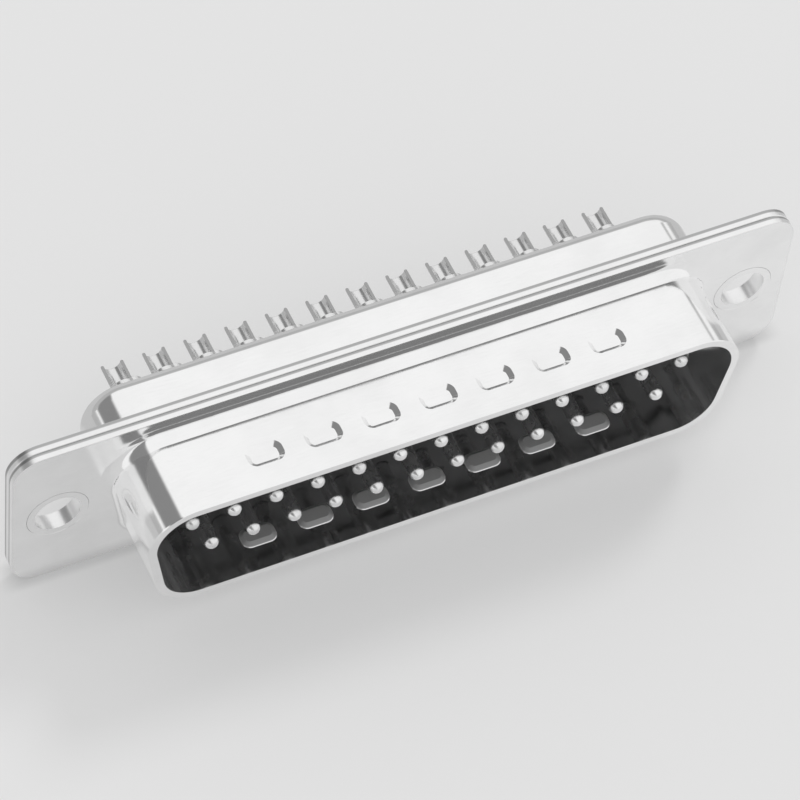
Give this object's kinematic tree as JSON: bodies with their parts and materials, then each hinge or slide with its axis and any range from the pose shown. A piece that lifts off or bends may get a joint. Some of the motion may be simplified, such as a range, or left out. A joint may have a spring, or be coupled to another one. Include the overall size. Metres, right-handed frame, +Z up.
{
  "type": "d-sub connector",
  "caption": "D-sub plug with a bright plated steel shell, a flange with mounting holes, pressed dimples on its D-shaped skirt, straight pins in a dark insulator and solder cups behind.",
  "frame": {"origin": "middle of the flange's front face, midway between the mounting holes", "axes": "+X along the flange, +Z up towards the wide row of contacts, -Y the way the mating connector leaves"},
  "size_m": [0.053, 0.0141, 0.0126],
  "materials": {
    "shell": "bright plated sheet steel",
    "insulator": "moulded, black",
    "contact": "turned, tin plated"
  },
  "bodies": {
    "root": {"front_shell": "shell", "rear_shell": "shell", "front_insulator": "insulator", "rear_insulator": "insulator", "contact_01": "contact", "contact_02": "contact", "contact_03": "contact", "contact_04": "contact", "contact_05": "contact", "contact_06": "contact", "contact_07": "contact", "contact_08": "contact", "contact_09": "contact", "contact_10": "contact", "contact_11": "contact", "contact_12": "contact", "contact_13": "contact", "contact_14": "contact", "contact_15": "contact", "contact_16": "contact", "contact_17": "contact", "contact_18": "contact", "contact_19": "contact", "contact_20": "contact", "contact_21": "contact", "contact_22": "contact", "contact_23": "contact", "contact_24": "contact", "contact_25": "contact"}
  },
  "joints": []
}
